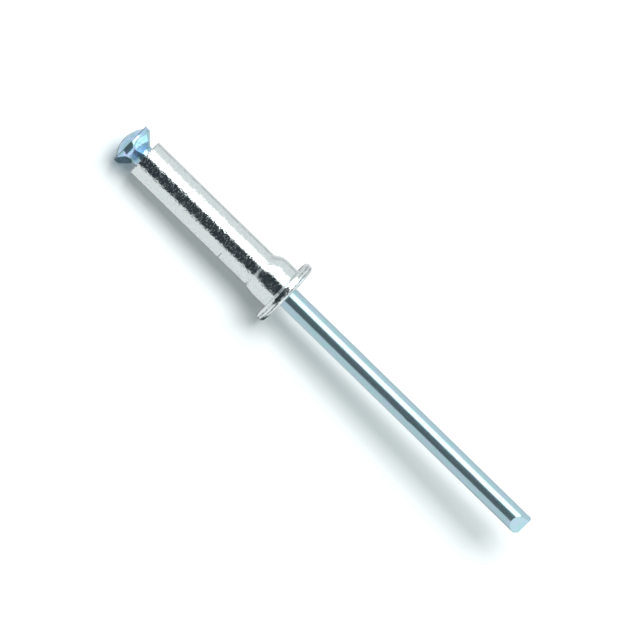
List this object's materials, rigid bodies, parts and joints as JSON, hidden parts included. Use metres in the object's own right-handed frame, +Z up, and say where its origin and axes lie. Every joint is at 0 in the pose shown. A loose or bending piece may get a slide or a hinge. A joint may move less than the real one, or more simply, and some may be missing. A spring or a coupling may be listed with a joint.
{
  "type": "blind rivet",
  "caption": "Open-end blind rivet with a shouldered tube: its steel mandrel is pulled from the flange side to swell the tube and clamp sheets reached from one side only.",
  "frame": {"origin": "on the surface the rivet lies on, under the centre of its bounding box", "axes": "+X points from the mandrel's head towards the cropped end of its stem, along the surface; +Z is up; +Y is to the left looking along +X. The rivet's own axis rises 3.2 degrees towards +X."},
  "size_m": [0.0542, 0.0072, 0.0072],
  "materials": {
    "rivet_body": "polished",
    "mandrel": "gloss"
  },
  "bodies": {
    "root": {"rivet_body": "rivet_body", "mandrel": "mandrel"}
  },
  "joints": []
}
